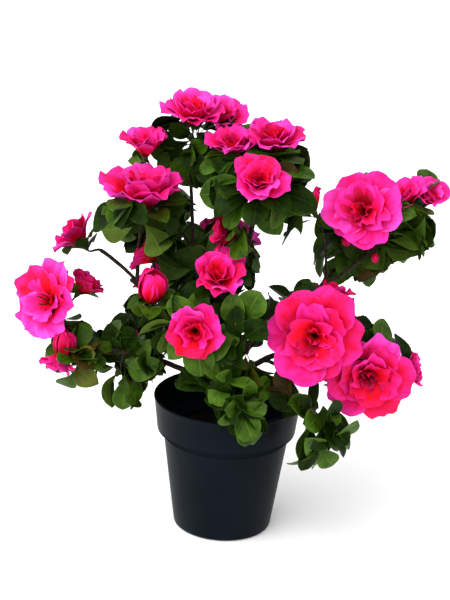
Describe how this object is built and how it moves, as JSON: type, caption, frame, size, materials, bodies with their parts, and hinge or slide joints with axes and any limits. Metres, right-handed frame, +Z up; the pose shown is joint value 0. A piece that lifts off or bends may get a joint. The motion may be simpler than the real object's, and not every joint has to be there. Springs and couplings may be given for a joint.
{
  "type": "artificial azalea in a nursery pot",
  "caption": "Artificial azalea shrub: wired stems with silk leaves and ruffled pink double blooms, standing in a plain dark plastic nursery pot.",
  "frame": {"origin": "middle of the pot's flat underside, at the level that the pot stands on", "axes": "+Z up along the pot's axis, the plant's front looks along -Y, +X to the front view's right"},
  "size_m": [0.3407, 0.2297, 0.3598],
  "materials": {
    "pot_plastic": "satin moulded plastic, near black",
    "pot_filling": "rough dark cement plug",
    "stems": "dark brown coated wire with a fine bark relief",
    "foliage": "printed silk leaves, slightly glossy",
    "petals": "soft printed silk petals, pink with red throats"
  },
  "bodies": {
    "root": {"bough_back": "stems", "bough_back_left": "stems", "bough_back_right": "stems", "bough_crown": "stems", "bough_crown_right": "stems", "bough_front": "stems", "bough_left": "stems", "bough_left_low": "stems", "bough_right": "stems", "bough_right_low": "stems", "limb_back_low": "stems", "limb_back_low_left": "stems", "limb_back_low_right": "stems", "limb_back_top": "stems", "limb_back_upper_left": "stems", "limb_back_upper_right": "stems", "limb_centre": "stems", "limb_centre_left": "stems", "limb_centre_right": "stems", "limb_crown_left": "stems", "limb_left_far": "stems", "limb_left_outer": "stems", "limb_left_shelf": "stems", "limb_low_front": "stems", "limb_right_low": "stems", "limb_right_lower": "stems", "limb_right_tip": "stems", "limb_right_upper": "stems", "limb_upper_left": "stems", "main_stem": "stems", "mass_back_centre": "foliage", "mass_back_left": "foliage", "mass_back_low": "foliage", "mass_back_low_left": "foliage", "mass_back_low_right": "foliage", "mass_back_right": "foliage", "mass_back_top": "foliage", "mass_back_upper_left": "foliage", "mass_back_upper_right": "foliage", "mass_centre": "foliage", "mass_centre_front": "foliage", "mass_centre_left": "foliage", "mass_centre_right": "foliage", "mass_crown_left": "foliage", "mass_crown_right": "foliage", "mass_left_far": "foliage", "mass_left_inner": "foliage", "mass_left_low": "foliage", "mass_left_outer": "foliage", "mass_left_shelf": "foliage", "mass_low_front": "foliage", "mass_right_low": "foliage", "mass_right_lower": "foliage", "mass_right_outer": "foliage", "mass_right_tip": "foliage", "mass_right_upper": "foliage", "mass_upper_left": "foliage", "pot": "pot_plastic", "pot_filling": "pot_filling"}
  },
  "joints": []
}
